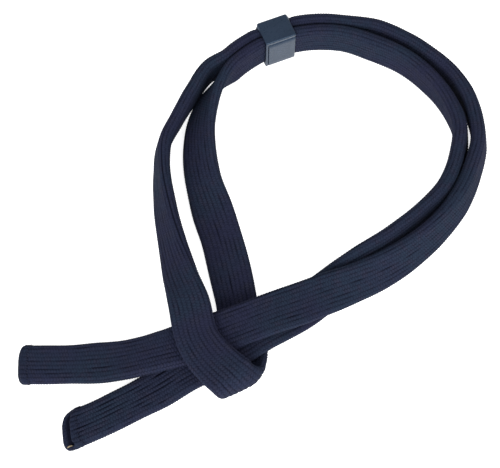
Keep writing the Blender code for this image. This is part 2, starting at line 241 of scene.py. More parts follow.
# Knit: ribs round the tube, courses along it, and the relief of each. CHEVRON is how far a stitch slants.
RIBS = 22
POINTS_PER_RIB = 5
COURSE = 0.00082
RINGS_PER_COURSE = 2
RIB_RELIEF = 0.00004
GROOVE_RELIEF = 0.00022
STITCH_RELIEF = 0.00008
RIB_POWER = 2.2
CHEVRON = 0.30

# Grooves between ribs: the usual depth of each, and how it comes and goes along the tube. The depth
# also sets how much painted shade the knit's material puts in each groove.
GROOVE_SEED = 7
GROOVE_USUAL = (-0.60, 0.55)
GROOVE_WAVE = 0.60
GROOVE_LENGTH = 0.009
GROOVE_LIMIT = 1.5
GROOVE_POWER = 5

# A crease along the outer strand's left side: which groove, where it runs, and how quickly it begins.
# Its depth deepens the groove and the painted shade in it.
CREASE_GROOVE = 1
CREASE_STARTS = (2, 2.4)
CREASE_ENDS = (2, 7.4)
CREASE_DEPTH = 2.2
CREASE_EASE = 3

# Unevenness of the tube: (share of the size, seed, length of the waves), and how the waves are made.
UNEVEN_WIDTH = (0.010, 8, 0.016)
UNEVEN_THICKNESS = (0.02, 9, 0.012)
WAVE_TERMS = 5
WAVE_LENGTHS = (0.6, 2.2)
WAVE_EVENING = 1.4

# Margins of the baking map, and the shape of its strips.
BAKE_MARGIN = 0.01
STRIP_MARGIN = 0.02
STRIP_SHAPE = 1.6

# Mouths: the turned hem, the wall of the tube and the space inside it. A valley is how much painted shade
# lies in a groove.
HEM = 0.0025
HEM_ROWS = 7
HEM_COURSE = 0.5
# How much of the grooves' painted shade is left on the hem.
HEM_GROOVE_SHADE = 0.4
HEM_PROUD = 0.00014
HEM_PUFF = 0.45
HEM_UNDER = 0.0004
# Painted shade on the wall inside each mouth, as a valley.
INSIDE_PAINTED_SHADE = 1.3
LIP_BREADTH = 0.0008
LUMEN_DEPTH = 0.020
LIP_STEPS = 9
MOUTH_FADE = 0.0075
LIP_SPLIT = 0.4
CORNER_POWER = 4
RINGS_PER_TAIL_COURSE = 3

# Each mouth: how far back its two lips lie, how far back its corners are rounded, how far one side lies
# behind the other, and its wall. The first lip is the one on the section's upper face. The fold turns the
# tube over, so at the lower mouth it is the one underneath.
UPPER_MOUTH = {"lips": (0.0002, -0.0004), "corner": 0.0013, "skew": -0.0002, "wall": 0.00140}
LOWER_MOUTH = {"lips": (-0.0013, 0.0014), "corner": 0.00215, "skew": 0.00145, "wall": 0.00105}

# Strength of the grooves on each tail, where the strands have 1: how deep they are and how much painted
# shade lies in them.
TAIL_VALLEY = {"upper": 1.1, "lower": 2.2}

# Stitches of the hem: how uneven they are, and how their thread rises over the hem's edge.
STITCHES = 34
STITCH_POINTS = 5
STITCH_LENGTH = 0.00085
STITCH_SPACING = 0.15
STITCH_LEAN = (0.002, 0.006)
STITCH_WANDER = 0.00004
THREAD = 0.00016
THREAD_RISE = 0.75
THREAD_DIP = 0.9
THREAD_TIP = 0.45
THREAD_SIDES = 6

# The yarn end in the lower mouth: how it runs round the section and inwards, and how far under the surface.
YARN_AROUND = 0.47
YARN_TURN = 0.014
YARN_START = 0.0001
YARN_LENGTH = 0.0013
YARN_SUNK = 0.00112
YARN_BEND = 0.0002
YARN_RADIUS = 0.00017
YARN_POINTS = 7
YARN_SIDES = 8

# Colours, linear.
NAVY = (0.0158, 0.0175, 0.0385, 1)
TEAL_NAVY = (0.0135, 0.0205, 0.0375, 1)
GREY_NAVY = (0.0200, 0.0210, 0.0385, 1)
# Near-black painted shade that the knit mixes in between its stitches, in its grooves and inside its mouths.
PAINTED_SHADE_NAVY = (0.0035, 0.0045, 0.0115, 1)
LINT = (0.55, 0.56, 0.60, 1)
SLATE = (0.0070, 0.0128, 0.0270, 1)
PALE_SLATE = (0.0095, 0.0165, 0.0335, 1)
SLATE_GLOSS = (0.54, 0.76, 1.0, 1)
BEIGE = (0.33, 0.26, 0.17, 1)
DARK_BEIGE = (0.22, 0.18, 0.12, 1)

# Noises of the materials: (scale per metre, detail, roughness).
CLOUDS = (55.0, 2.0, 0.5)
MOTTLE = (420.0, 3.0, 0.6)
FUZZ = (1500.0, 2.0, 0.6)
FIBRES = (5200.0, 2.0, 0.6)
PLASTIC_CLOUDS = (330.0, 3.0, 0.55)
PLASTIC_GRAIN = (6500.0, 2.0, 0.6)
PLASTIC_WEAR = (900.0, 4.0, 0.65)

# Ranges of the noises over which a look changes.
TEAL_RANGE = (0.40, 0.62)
GREY_RANGE = (0.48, 0.72)
HOLE_RANGE = (0.35, 0.65)
LINE_RANGE = (0.42, 0.60)
FUZZ_RANGE = (0.3, 0.7)
FIBRE_RANGE = (0.35, 0.65)
SLATE_RANGE = (0.36, 0.66)
WEAR_RANGE = (0.35, 0.7)

# Knit's look: painted shade in the gaps, holes and lines between its stitches, and painted light and shade
# from a stitch's crown to its groove.
KNIT_ROUGHNESS = 0.92
KNIT_SPECULAR = 0.06
RIB_ROUNDNESS = 3.0
GAP_DARKNESS = 0.50
HOLE_DARKNESS = (0.5, 1.3)
LINE_DARKNESS = (0.0, 0.30)
DARKEST = 1.3
CROWN_LIGHT = 1.1
GAP_LIGHT = 0.05
FUZZ_LIGHT = (0.62, 1.30)
# Painted shade in the grooves and inside the mouths: the valley at which it is darkest, and how light the yarn
# is from no valley to that one.
VALLEY_DEEPEST = 1.2
VALLEY_LIGHT = (1.0, 0.10)
LINT_SCALE = 330.0
LINT_RARITY = 0.965
LINT_SIZE = 0.085
CROWN_BUMP = 0.8
FUZZ_BUMP = 0.35

# Thread's and plastic's looks.
THREAD_ROUGHNESS = 0.85
THREAD_SPECULAR = 0.15
THREAD_BUMP = 0.00005
PLASTIC_ROUGHNESS = (0.24, 0.38)
PLASTIC_SPECULAR = 0.44
PLASTIC_BUMP = 0.000012
WEAR_BUMP = 0.4


def resting_height(section, lift):
    """Height of a section's centre over what it lies on, with one edge lifted by this angle."""
    width, thickness = section
    return (width - thickness) / 2 * abs(math.sin(math.radians(lift))) + thickness / 2


def placed(stations):
    """Columns (x, y, z, edge direction, edge lift, width, thickness) of a list of stations."""
    return [
        (x, y, layers * LAYER + resting_height(section, lift), direction, lift, *section)
        for x, y, layers, direction, lift, section in stations
    ]


def eased(share):
    """0 to 1, flat at both ends."""
    share = np.clip(share, 0.0, 1.0)
    return share * share * (3 - 2 * share)


def freed(angle):
    """0 where the slider grips the strands on the arc, to 1 beside it."""
    away = abs(angle - SLIDER_ANGLE)
    return float(eased((away - GRIP_ANGLE) / (FREE_ANGLE - GRIP_ANGLE)))


def arc(side, start, end):
    """Columns of one strand along the arc: side is 1 for the outer strand and -1 for the inner one."""
    columns = []
    for angle in np.linspace(start, end, ARC_STATIONS):
        on_left = angle > SLIDER_ANGLE
        free = freed(angle)
        thickness = GRIPPED + ((BESIDE_LEFT if on_left else BESIDE_RIGHT) - GRIPPED) * free
        width = ARC_WIDTH + (ARC_WIDTH_BESIDE - ARC_WIDTH) * free
        bow = LEFT_BOW * free if on_left else 0.0
        radius = ARC_RADIUS + bow + side * (STRAND_GAP + thickness) / 2
        x = ARC_CENTRE[0] + radius * math.cos(math.radians(angle))
        y = ARC_CENTRE[1] + radius * math.sin(math.radians(angle))
        columns.append((x, y, ARC_HEIGHT, angle + 180, 90, width, thickness))
    return columns


def fold():
    """Columns round the bight's fold: half a turn of an oblique helix, from the top layer to the table."""
    radius = 1.5 * LAYER
    centre_height = PRESSED[1] / 2 + radius + FOLD_FLOOR_GAP
    slant = math.radians(FOLD_SLANT)
    azimuth = math.radians(FOLD_AXIS_AZIMUTH)
    along = np.array([math.cos(azimuth), math.sin(azimuth), 0])
    out = np.array([along[1], -along[0], 0])
    up = np.array([0, 0, 1])
    columns = []
    for turn in np.linspace(0, math.pi, FOLD_STATIONS):
        middle = np.array([*FOLD_START, centre_height]) + along * radius * turn * math.tan(slant)
        place = middle + radius * (math.sin(turn) * out + math.cos(turn) * up)
        forward = math.cos(turn) * out - math.sin(turn) * up
        edge = math.cos(slant) * along - math.sin(slant) * forward
        direction = math.degrees(math.atan2(edge[1], edge[0])) + 360
        lift = math.degrees(math.asin(edge[2]))
        columns.append((*place, direction, lift, *FOLDED))
    return columns


def route():
    """Columns of the whole tube, and the index of the first station of each of its stretches."""
    stretches = [
        placed(UPPER_TAIL_AND_OUTER_STRAND),
        arc(1, ARC_START, ARC_END),
        placed(OUTER_STRAND_LEFT),
        fold(),
        placed(INNER_STRAND_LEFT),
        arc(-1, ARC_END, ARC_START),
        placed(INNER_STRAND_AND_LOWER_TAIL),
    ]
    starts = np.cumsum([0] + [len(stretch) for stretch in stretches])
    table = np.array([column for stretch in stretches for column in stretch], float)
    table[:, 3] = np.degrees(np.unwrap(np.radians(table[:, 3])))
    return table, starts


def slopes(table, marks):
    """Slope of every column at every station: smooth in plan, and never past its neighbours elsewhere."""
    found = np.zeros_like(table)
    found[0] = (table[1] - table[0]) / (marks[1] - marks[0])
    found[-1] = (table[-1] - table[-2]) / (marks[-1] - marks[-2])
    for i in range(1, len(table) - 1):
        before = (table[i] - table[i - 1]) / (marks[i] - marks[i - 1])
        after = (table[i + 1] - table[i]) / (marks[i + 1] - marks[i])
        share = (marks[i + 1] - marks[i]) / (marks[i + 1] - marks[i - 1])
        found[i] = before * share + after * (1 - share)
        same_way = before[2:] * after[2:] > 0
        total = np.where(same_way, before[2:] + after[2:], 1.0)
        found[i, 2:] = np.where(same_way, 2 * before[2:] * after[2:] / total, 0.0)
    return found


TABLE, STARTS = route()
MARKS = np.concatenate([[0.0], np.cumsum(np.linalg.norm(np.diff(TABLE[:, :3], axis=0), axis=1))])
SLOPES = slopes(TABLE, MARKS)


def mark_of(place):
    """Distance along the tube of a place given as (stretch, station in it)."""
    stretch, station = place
    return float(np.interp(STARTS[stretch] + station, range(len(MARKS)), MARKS))


def columns_at(marks):
    """The route's columns at distances along the tube, on the smooth curve through the stations."""
    i = np.clip(np.searchsorted(MARKS, marks, side="right") - 1, 0, len(MARKS) - 2)
    span = MARKS[i + 1] - MARKS[i]
    u = ((marks - MARKS[i]) / span)[:, None]
    span = span[:, None]
    return (
        (2 * u**3 - 3 * u**2 + 1) * TABLE[i]
        + (u**3 - 2 * u**2 + u) * span * SLOPES[i]
        + (3 * u**2 - 2 * u**3) * TABLE[i + 1]
        + (u**3 - u**2) * span * SLOPES[i + 1]
    )


def frames_at(marks):
    """Columns, forward, width and thickness directions at distances along the tube."""
    columns = columns_at(marks)
    reach = 0.0002
    ahead = columns_at(np.minimum(marks + reach, MARKS[-1]))[:, :3]
    behind = columns_at(np.maximum(marks - reach, 0.0))[:, :3]
    forward = ahead - behind
    forward /= np.linalg.norm(forward, axis=1)[:, None]
    direction = np.radians(columns[:, 3])
    lift = np.radians(columns[:, 4])
    edge = np.stack([np.cos(direction) * np.cos(lift), np.sin(direction) * np.cos(lift), np.sin(lift)], 1)
    edge -= (edge * forward).sum(1)[:, None] * forward
    edge /= np.linalg.norm(edge, axis=1)[:, None]
    return columns, forward, edge, np.cross(forward, edge)


def flattened(width, thickness, around):
    """Points and outward directions (across, up) of the section, at shares of the way round it.

    The way round starts at the tip of the inner edge and goes over the upper face.
    """
    width = width[:, None]
    radius = thickness[:, None] / 2
    side = np.maximum(width / 2 - radius, 0.0)
    quarter = math.pi * radius / 2
    length = 4 * quarter + 4 * side
    along = around[None, :] * length
    upper = along < length / 2
    from_inner = np.where(upper, along, along - length)
    from_outer = along - length / 2
    on_inner = np.abs(from_inner) <= quarter
    on_outer = np.abs(from_outer) <= quarter
    on_edge = on_inner | on_outer
    angle = np.where(on_inner, from_inner / radius, math.pi + from_outer / radius)
    face = np.where(upper, 1.0, -1.0)
    run = np.where(upper, side - (along - quarter), along - 3 * quarter - 3 * side)
    centre = np.where(on_inner, side, -side)
    across = np.where(on_edge, centre + radius * np.cos(angle), run)
    high = np.where(on_edge, radius * np.sin(angle), face * radius)
    out_across = np.where(on_edge, np.cos(angle), 0.0)
    out_high = np.where(on_edge, np.sin(angle), face)
    return across, high, out_across, out_high


def waves(values, seed, length):
    """A smooth random wave along the tube, about -1 to 1, with this typical length."""
    random = np.random.default_rng(seed)
    total = np.zeros_like(values)
    for _ in range(WAVE_TERMS):
        wavelength = length * random.uniform(*WAVE_LENGTHS)
        total += np.sin(2 * math.pi * (values / wavelength + random.random()))
    return total / math.sqrt(WAVE_TERMS * WAVE_EVENING)


def uneven(marks, amount, seed, length):
    """Factors by which a size of the tube varies along it."""
    return 1 + amount * waves(marks, seed, length)


def creased(marks):
    """0 to 1 along the crease, easing in and out."""
    starts, ends = mark_of(CREASE_STARTS), mark_of(CREASE_ENDS)
    begun = eased((marks - starts) / (ends - starts) * CREASE_EASE)
    left = eased((ends - marks) / (ends - starts) * CREASE_EASE)
    return begun * left


def grooves(marks, around, strength):
    """How deep the valley beside each rib is: some grooves come and go along the tube, one is a crease."""
    to_groove = np.abs((around * RIBS) % 1.0 - 0.5) * 2
    index = np.floor(around * RIBS + 0.5).astype(int) % RIBS
    random = np.random.default_rng(GROOVE_SEED)
    depth = np.zeros((len(marks), RIBS))
    for k in range(RIBS):
        usual = random.uniform(*GROOVE_USUAL)
        wave = GROOVE_WAVE * waves(marks, 31 * k, GROOVE_LENGTH)
        depth[:, k] = np.clip(usual + wave, 0.0, GROOVE_LIMIT)
    depth[:, CREASE_GROOVE] = np.maximum(depth[:, CREASE_GROOVE], CREASE_DEPTH * creased(marks))
    return strength * depth[:, index] * (to_groove**GROOVE_POWER)[None, :]


def knit_relief(marks, around, valley):
    """Height of the knit over the plain section: round ribs of slanting stitches, between grooves."""
    to_groove = np.abs((around * RIBS) % 1.0 - 0.5) * 2
    rib = 1 - to_groove**RIB_POWER
    offset = CHEVRON * to_groove + (np.floor(around * RIBS) % 2) / 2
    slant = marks[:, None] / COURSE + offset[None, :]
    stitch = np.cos(2 * math.pi * slant)
    return RIB_RELIEF * (rib[None, :] - 1) - GROOVE_RELIEF * valley + STITCH_RELIEF * stitch


def curled(marks, share):
    """How each point of a ring curls towards the inside of the bight's fold: drop, drawing in and slope."""
    starts, full, holds, ends = (mark_of(p) for p in (CURL_STARTS, CURL_FULL, CURL_HOLDS, CURL_ENDS))
    weight = eased((marks - starts) / (full - starts)) * eased((ends - marks) / (ends - holds))
    right = CURL_RIGHT[0] + (CURL_RIGHT[1] - CURL_RIGHT[0]) * eased((marks - full) / (holds - full))
    reach = weight[:, None] * np.where(share > 0, right[:, None], CURL_LEFT)
    part = np.minimum(np.abs(share), 1.0)
    rise = CURL_POWER * reach / CURL_SPAN
    slope = np.arctan(rise * part ** (CURL_POWER - 1))
    run = 2 * CURL_POWER - 1
    drawn_in = CURL_SPAN * rise**2 * part**run / (2 * run)
    return reach * part**CURL_POWER, np.sign(share) * drawn_in, np.sign(share) * slope


def tube_rings(marks, valley_strength=1.0, raised=0.0, shift=None):
    """Rings of the knitted tube at distances along it: points[ring, around, xyz] and their valleys.

    raised makes the section bigger all round, and shift(marks, across, up) moves points along the tube,
    given as shares of the half width and half thickness.
    """
    columns, forward, edge, face = frames_at(marks)
    around = np.arange(RIBS * POINTS_PER_RIB) / (RIBS * POINTS_PER_RIB)
    width = columns[:, 5] * uneven(marks, *UNEVEN_WIDTH) + 2 * raised
    thickness = columns[:, 6] * uneven(marks, *UNEVEN_THICKNESS) + 2 * raised
    across, high, out_across, out_high = flattened(width, thickness, around)
    valley = grooves(marks, around, valley_strength)
    relief = knit_relief(marks, around, valley)
    across = across + out_across * relief
    high = high + out_high * relief
    across_share = across / (columns[:, 5] / 2)[:, None]
    high_share = high / (columns[:, 6] / 2)[:, None]
    drop, drawn_in, slope = curled(marks, across_share)
    across = across - drawn_in + high * np.sin(slope)
    high = high * np.cos(slope) - drop
    points = columns[:, None, :3] + edge[:, None, :] * across[..., None] + face[:, None, :] * high[..., None]
    if shift is not None:
        points = points + forward[:, None, :] * shift(marks, across_share, high_share)[..., None]
    return points, valley


def ring_quads(rows, count, closed):
    """Row and column of each quad between rings of points, and its four points."""
    steps = rows if closed else rows - 1
    row = np.repeat(np.arange(steps), count)
    column = np.tile(np.arange(count), steps)
    below = row * count
    above = (row + 1) % rows * count
    right = (column + 1) % count
    return row, column, np.stack([below + column, below + right, above + right, above + column], 1)


def skin(name, rings, valley, courses, closed=False):
    """A mesh through rows of rings, capped at both ends or closed on itself.

    Its UV map "knit" counts courses along and ribs round, its map "OFBake" lays the tube out in strips,
    and its attribute "valley" says how deep in a groove each point lies: the material paints shade by it.
    """
    rows, count, _ = rings.shape
    row, column, quads = ring_quads(rows, count, closed)
    steps = len(quads) // count
    faces = quads.tolist()
    if not closed:
        faces.append(list(range(count))[::-1])
        faces.append(list(range((rows - 1) * count, rows * count)))
    mesh = bpy.data.meshes.new(name)
    mesh.from_pydata(rings.reshape(-1, 3).tolist(), [], faces)
    ends = np.append(courses, 2 * courses[-1] - courses[-2])
    u = np.stack([ends[row], ends[row], ends[row + 1], ends[row + 1]], 1)
    v = np.stack([column, column + 1, column + 1, column], 1) * RIBS / count
    add_map(mesh, "knit", u, v)
    strips = max(1, round(math.sqrt(steps / count / STRIP_SHAPE)))
    per_strip = math.ceil(steps / strips)
    strip = (row // per_strip)[:, None]
    along = (row % per_strip)[:, None] + np.array([0, 0, 1, 1])[None, :]
    across = STRIP_MARGIN + (1 - 2 * STRIP_MARGIN) * v / RIBS
    add_map(mesh, "OFBake", BAKE_MARGIN + (1 - 2 * BAKE_MARGIN) * along / per_strip, (strip + across) / strips)
    store = mesh.attributes.new("valley", "FLOAT", "POINT")
    store.data.foreach_set("value", np.ascontiguousarray(valley.reshape(-1), np.float32))
    mesh.uv_layers["knit"].active_render = True
    mesh.shade_smooth()
    outward(mesh)
    return linked(name, mesh)


def add_map(mesh, name, u, v):
    """A UV map of the quads, with the caps, if any, at the origin."""
    values = np.zeros((len(mesh.loops), 2), np.float32)
    values[: u.size] = np.stack([u.reshape(-1), v.reshape(-1)], 1)
    mesh.uv_layers.new(name=name).data.foreach_set("uv", values.reshape(-1))


def linked(name, data):
    """A new object in the scene for a mesh, a camera or a lamp."""
    made = bpy.data.objects.new(name, data)
    bpy.context.scene.collection.objects.link(made)
    return made


def outward(mesh):
    """Turn a closed mesh's faces outwards."""
    edit = bmesh.new()
    edit.from_mesh(mesh)
    bmesh.ops.recalc_face_normals(edit, faces=edit.faces)
    edit.to_mesh(mesh)
    edit.free()


def even_marks(first, last):
    """Distances for the rings of a stretch, a whole part of a course apart."""
    step = COURSE / RINGS_PER_COURSE
    inside = np.arange(math.floor(first / step) + 1, math.ceil(last / step)) * step
    return np.concatenate([[first], inside, [last]])


class Nodes:
    """A material's node tree, with a short way to add and link nodes."""

    def __init__(self, name, roughness):
        self.material = bpy.data.materials.new(name)
        self.material.use_nodes = True
        self.tree = self.material.node_tree
        self.shader = self.tree.nodes["Principled BSDF"]
        self.shader.inputs["Roughness"].default_value = roughness

    def link(self, value, socket):
        if isinstance(value, bpy.types.NodeSocket):
            self.tree.links.new(value, socket)
        else:
            socket.default_value = value

    def math(self, operation, *values):
        node = self.tree.nodes.new("ShaderNodeMath")
        node.operation = operation
        for socket, value in zip(node.inputs, values):
            self.link(value, socket)
        return node.outputs[0]

    def mix(self, share, first, second):
        node = self.tree.nodes.new("ShaderNodeMix")
        node.data_type = "RGBA"
        self.link(share, node.inputs["Factor"])
        self.link(first, node.inputs["A"])
        self.link(second, node.inputs["B"])
        return node.outputs["Result"]

    def span(self, value, low, high, to_low=0.0, to_high=1.0):
        """value from low..high to to_low..to_high, held at both ends."""
        node = self.tree.nodes.new("ShaderNodeMapRange")
        for socket, number in zip(node.inputs[1:5], (low, high, to_low, to_high)):
            socket.default_value = number
        self.link(value, node.inputs[0])
        return node.outputs[0]

    def place(self):
        """Coordinates fixed to the piece, in metres."""
        return self.tree.nodes.new("ShaderNodeTexCoord").outputs["Object"]

    def noise(self, vector, scale, detail, roughness):
        node = self.tree.nodes.new("ShaderNodeTexNoise")
        node.inputs["Scale"].default_value = scale
        node.inputs["Detail"].default_value = detail
        node.inputs["Roughness"].default_value = roughness
        self.tree.links.new(vector, node.inputs["Vector"])
        return node.outputs["Fac"]

    def bump(self, height, distance):
        node = self.tree.nodes.new("ShaderNodeBump")
        node.inputs["Distance"].default_value = distance
        node.inputs["Strength"].default_value = 1.0
        self.link(height, node.inputs["Height"])
        self.link(node.outputs[0], self.shader.inputs["Normal"])

    def finish(self, colour, specular):
        self.link(colour, self.shader.inputs["Base Color"])
        self.shader.inputs["Specular IOR Level"].default_value = specular
        return self.material


def stitch_pattern(nodes, chevron):
    """Heights of slanting stitches and of rounded ribs, both 0 to 1, on the "knit" UV map."""
    source = nodes.tree.nodes.new("ShaderNodeUVMap")
    source.uv_map = "knit"
    parts = nodes.tree.nodes.new("ShaderNodeSeparateXYZ")
    nodes.link(source.outputs[0], parts.inputs[0])
    course, ribs = parts.outputs[0], parts.outputs[1]
    from_middle = nodes.math("ABSOLUTE", nodes.math("SUBTRACT", nodes.math("FRACT", ribs), 0.5))
    to_groove = nodes.math("MULTIPLY", from_middle, 2.0)
    every_other = nodes.math("FLOORED_MODULO", nodes.math("FLOOR", ribs), 2.0)
    half_course = nodes.math("MULTIPLY", every_other, 0.5)
    offset = nodes.math("ADD", half_course, nodes.math("MULTIPLY", to_groove, chevron))
    slant = nodes.math("ADD", course, offset)
    wave = nodes.math("COSINE", nodes.math("MULTIPLY", slant, 2 * math.pi))
    stitch = nodes.math("MULTIPLY_ADD", wave, 0.5, 0.5)
    rib = nodes.math("SUBTRACT", 1.0, nodes.math("POWER", to_groove, RIB_ROUNDNESS))
    return stitch, rib


def knit_light(nodes, stitch, rib, mottle, fuzz, shade):
    """Painted light and shade of the yarn: lit crowns of stitches down to shaded holes and grooves."""
    valley = nodes.tree.nodes.new("ShaderNodeAttribute")
    valley.attribute_name = "valley"
    # Painted shade between stitches: the gaps, the holes where gap and groove meet, and lines along the
    # grooves.
    low = nodes.math("SUBTRACT", 1.0, rib)
    gap = nodes.math("SUBTRACT", 1.0, stitch)
    deepest = nodes.math("MULTIPLY", low, gap)
    hole = nodes.math("MULTIPLY", deepest, nodes.span(mottle, *HOLE_RANGE, *HOLE_DARKNESS))
    line = nodes.math("MULTIPLY", low, nodes.span(mottle, *LINE_RANGE, *LINE_DARKNESS))
    dark = nodes.math("ADD", nodes.math("MULTIPLY", gap, GAP_DARKNESS), nodes.math("ADD", line, hole))
    light = nodes.span(dark, 0.0, DARKEST, CROWN_LIGHT * shade, GAP_LIGHT)
    light = nodes.math("MULTIPLY", light, nodes.span(fuzz, *FUZZ_RANGE, *FUZZ_LIGHT))
    # Painted shade in the grooves and inside the mouths, from the valley attribute.
    return nodes.math("MULTIPLY", light, nodes.span(valley.outputs["Fac"], 0.0, VALLEY_DEEPEST, *VALLEY_LIGHT))


def linted(nodes, place, colour, amount):
    """The colour with rare pale specks of lint."""
    spots = nodes.tree.nodes.new("ShaderNodeTexVoronoi")
    spots.inputs["Scale"].default_value = LINT_SCALE
    nodes.link(place, spots.inputs["Vector"])
    rare = nodes.math("GREATER_THAN", nodes.math("MULTIPLY", spots.outputs["Color"], amount), LINT_RARITY)
    near = nodes.math("LESS_THAN", spots.outputs["Distance"], LINT_SIZE)
    return nodes.mix(nodes.math("MULTIPLY", rare, near), colour, LINT)


def knit_material(name, chevron, depth, lint, shade):
    """Navy yarn: painted light on each stitch's crown, painted near-black shade between them, a little lint.
    """
    nodes = Nodes(name, KNIT_ROUGHNESS)
    place = nodes.place()
    stitch, rib = stitch_pattern(nodes, chevron)
    mottle = nodes.noise(place, *MOTTLE)
    fuzz = nodes.noise(place, *FUZZ)
    yarn = nodes.mix(nodes.span(nodes.noise(place, *CLOUDS), *TEAL_RANGE), NAVY, TEAL_NAVY)
    yarn = nodes.mix(nodes.span(mottle, *GREY_RANGE), yarn, GREY_NAVY)
    light = knit_light(nodes, stitch, rib, mottle, fuzz, shade)
    colour = linted(nodes, place, nodes.mix(light, PAINTED_SHADE_NAVY, yarn), lint)
    crown = nodes.math("ADD", nodes.math("MULTIPLY", stitch, 0.6), nodes.math("MULTIPLY", rib, 0.4))
    raised = nodes.math("MULTIPLY", crown, CROWN_BUMP)
    nodes.bump(nodes.math("ADD", raised, nodes.math("MULTIPLY", fuzz, FUZZ_BUMP)), depth)
    return nodes.finish(colour, KNIT_SPECULAR)


def yarn_material(name, colour, other):
    """Plain twisted yarn, with fibres of two shades."""
    nodes = Nodes(name, THREAD_ROUGHNESS)
    fibres = nodes.noise(nodes.place(), *FIBRES)
    nodes.bump(fibres, THREAD_BUMP)
    return nodes.finish(nodes.mix(nodes.span(fibres, *FIBRE_RANGE), colour, other), THREAD_SPECULAR)


def plastic_material():
    """Moulded slate plastic: faintly cloudy, with a fine satin grain and duller rubbed patches."""
    nodes = Nodes("slate_plastic", PLASTIC_ROUGHNESS[1])
    place = nodes.place()
    cloud = nodes.noise(place, *PLASTIC_CLOUDS)
    grain = nodes.noise(place, *PLASTIC_GRAIN)
    worn = nodes.noise(place, *PLASTIC_WEAR)
    colour = nodes.mix(nodes.span(cloud, *SLATE_RANGE), SLATE, PALE_SLATE)
    nodes.link(nodes.span(worn, *WEAR_RANGE, *PLASTIC_ROUGHNESS), nodes.shader.inputs["Roughness"])
    nodes.bump(nodes.math("ADD", grain, nodes.math("MULTIPLY", worn, WEAR_BUMP)), PLASTIC_BUMP)
    nodes.shader.inputs["Specular Tint"].default_value = SLATE_GLOSS
    return nodes.finish(colour, PLASTIC_SPECULAR)


def camera():
    """The camera, in front of the strap and above it."""
    data = bpy.data.cameras.new("camera")
    data.sensor_width = SENSOR
    data.lens = LENS
    made = linked("camera", data)
    tilt = math.radians(VIEW_ELEVATION)
    made.location = (
        VIEW_TARGET[0],
        VIEW_TARGET[1] - VIEW_DISTANCE * math.cos(tilt),
        VIEW_TARGET[2] + VIEW_DISTANCE * math.sin(tilt),
    )
    made.rotation_euler = (math.pi / 2 - tilt, 0, 0)
    bpy.context.scene.camera = made


def area_light(name, place, energy):
    """A square lamp that faces the origin."""
    data = bpy.data.lights.new(name, "AREA")
    data.shape = "SQUARE"
    data.size = LAMP_SIZE
    data.energy = energy
    made = linked(name, data)
    made.location = place
    made.rotation_euler = (-Vector(place)).to_track_quat("-Z", "Y").to_euler()


def floor():
    """A plain pale floor just under the strap, which glows a little as a light table does."""
    mesh = bpy.data.meshes.new("floor")
    corners = [(x * FLOOR_REACH, y * FLOOR_REACH, 0) for x, y in ((-1, -1), (1, -1), (1, 1), (-1, 1))]
    mesh.from_pydata(corners, [], [(0, 1, 2, 3)])
    made = linked("floor", mesh)
    made.location.z = -FLOOR_DROP
    pale = bpy.data.materials.new("pale_floor")
    pale.use_nodes = True
    shader = pale.node_tree.nodes["Principled BSDF"]
    shader.inputs["Base Color"].default_value = FLOOR_COLOUR
    shader.inputs["Roughness"].default_value = FLOOR_ROUGHNESS
    shader.inputs["Emission Color"].default_value = WHITE
    shader.inputs["Emission Strength"].default_value = FLOOR_GLOW
    mesh.materials.append(pale)


def studio():
    """An even white surround, and two soft lamps low on the camera's side."""
    world = bpy.data.worlds.new("studio")
    world.use_nodes = True
    background = world.node_tree.nodes["Background"]
    background.inputs["Color"].default_value = WHITE
    background.inputs["Strength"].default_value = SURROUND
    bpy.context.scene.world = world
    area_light("left_lamp", LEFT_LAMP, LEFT_ENERGY)
    area_light("right_lamp", RIGHT_LAMP, RIGHT_ENERGY)
    floor()
    bpy.context.scene.view_settings.view_transform = "Standard"


def dressed(piece, material, slot, *replaced):
    """A piece with its material, with the CAD nodes that it stands for hidden. Its slot is not used."""
    piece.data.materials.append(material)
    if replaced:
        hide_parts(*replaced)
    return piece


def strand(name, first, last, replaced, knit):
    """A free length of the tube: it rides on the loop."""
    marks = even_marks(first, last)
    rings, valley = tube_rings(marks)
    piece = dressed(skin(name, rings, valley, marks / COURSE), knit, "knit", *replaced)
    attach(piece, "loop")


